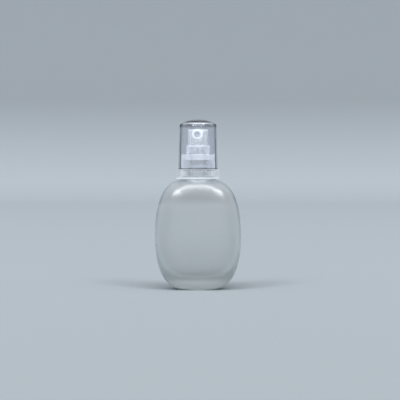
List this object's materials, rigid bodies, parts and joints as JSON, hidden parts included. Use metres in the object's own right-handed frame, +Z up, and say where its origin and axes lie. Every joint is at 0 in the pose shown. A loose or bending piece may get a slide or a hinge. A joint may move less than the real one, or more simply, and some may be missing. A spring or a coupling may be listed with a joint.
{
  "type": "foundation bottle",
  "caption": "Flattened pebble-shaped frosted glass bottle with a screw-on finger pump, front nozzle button and clear domed over-cap.",
  "frame": {"origin": "centre of the foot, on the surface the bottle stands on", "axes": "+Z up along the neck and pump axis; -Y is the front, the side the nozzle faces; +X is the bottle's width, to the right as seen from the front"},
  "size_m": [0.0566, 0.033, 0.1114],
  "materials": {
    "frosted_glass": "frosted outside, smooth inside, faint green tint where thick",
    "clear_cap": "polished clear styrene with a faint smoky violet tint",
    "natural_plastic": "natural translucent polypropylene, satin",
    "insert_plastic": "satin, slightly greyer than the button",
    "gasket_foam": "matt foamed polyethylene",
    "piston_plastic": "smooth natural polyethylene",
    "spring_steel": "drawn stainless wire",
    "ball_steel": "polished steel ball",
    "tube_plastic": "natural translucent polyethylene"
  },
  "bodies": {
    "bottle": {"glass_bottle": "frosted_glass"},
    "pump": {"pump_housing": "natural_plastic", "turret": "natural_plastic", "neck_gasket": "gasket_foam", "dip_tube": "tube_plastic", "return_spring": "spring_steel"},
    "closure": {"screw_closure": "natural_plastic"},
    "cap": {"overcap": "clear_cap"},
    "plunger": {"piston": "piston_plastic", "valve_pole": "natural_plastic"},
    "head": {"actuator_button": "natural_plastic", "nozzle_insert": "insert_plastic", "stem": "natural_plastic"},
    "ball": {"check_ball": "ball_steel"}
  },
  "joints": [
    {"name": "pump_lift", "type": "slide", "parent": "bottle", "child": "pump", "axis": [0, 0, 1], "range_m": [0, 0.00476]},
    {"name": "closure_unscrew", "type": "hinge", "parent": "pump", "child": "closure", "pos_m": [0, 0, 0.0803], "axis": [0, 0, 1], "range_deg": [0, 540]},
    {"name": "overcap_pull", "type": "slide", "parent": "closure", "child": "cap", "axis": [0, 0, 1], "range_m": [0, 0.04]},
    {"name": "button_press", "type": "slide", "parent": "pump", "child": "plunger", "axis": [0, 0, -1], "range_m": [0, 0.0035], "stiffness_N_per_m": 200, "springref_m": -0.003, "deforming": ["return_spring"]},
    {"name": "button_swivel", "type": "hinge", "parent": "plunger", "child": "head", "pos_m": [0, 0, 0.0945], "axis": [0, 0, 1], "continuous": true},
    {"name": "ball_lift", "type": "slide", "parent": "pump", "child": "ball", "axis": [0, 0, 1], "range_m": [0, 0.0007]}
  ],
  "couplings": [
    {"joint": "closure_unscrew", "follows": "pump_lift", "rad_per_m": 1979}
  ]
}
